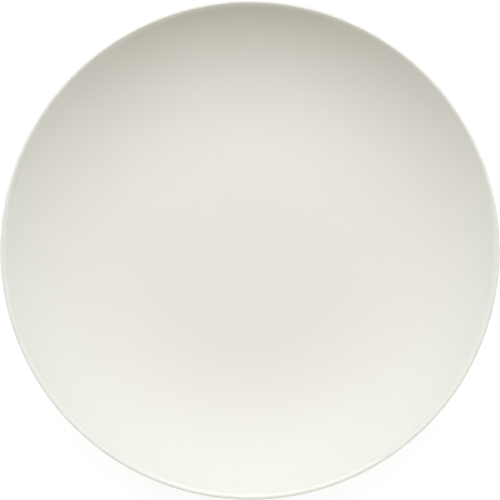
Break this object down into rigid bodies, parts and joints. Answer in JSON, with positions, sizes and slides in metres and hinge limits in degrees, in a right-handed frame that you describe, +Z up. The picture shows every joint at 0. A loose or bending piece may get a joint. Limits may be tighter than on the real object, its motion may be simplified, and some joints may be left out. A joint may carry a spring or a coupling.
{
  "type": "deep coupe plate",
  "caption": "Round deep coupe plate in ivory glazed porcelain: a level well curves up in one sweep to a rolled rim, over a low foot ring with a bare bearing face.",
  "frame": {"origin": "on the plane that the plate stands on, under the middle of the plate", "axes": "+Z up along the plate's axis of revolution; X and Y are any two square directions"},
  "size_m": [0.28, 0.28, 0.042],
  "materials": {
    "porcelain": "bare fired porcelain, matt and fine grained",
    "glaze": "smooth ivory glaze, satin gloss"
  },
  "bodies": {
    "root": {"porcelain_body": "porcelain", "glaze_coat": "glaze", "base_glaze": "glaze"}
  },
  "joints": []
}
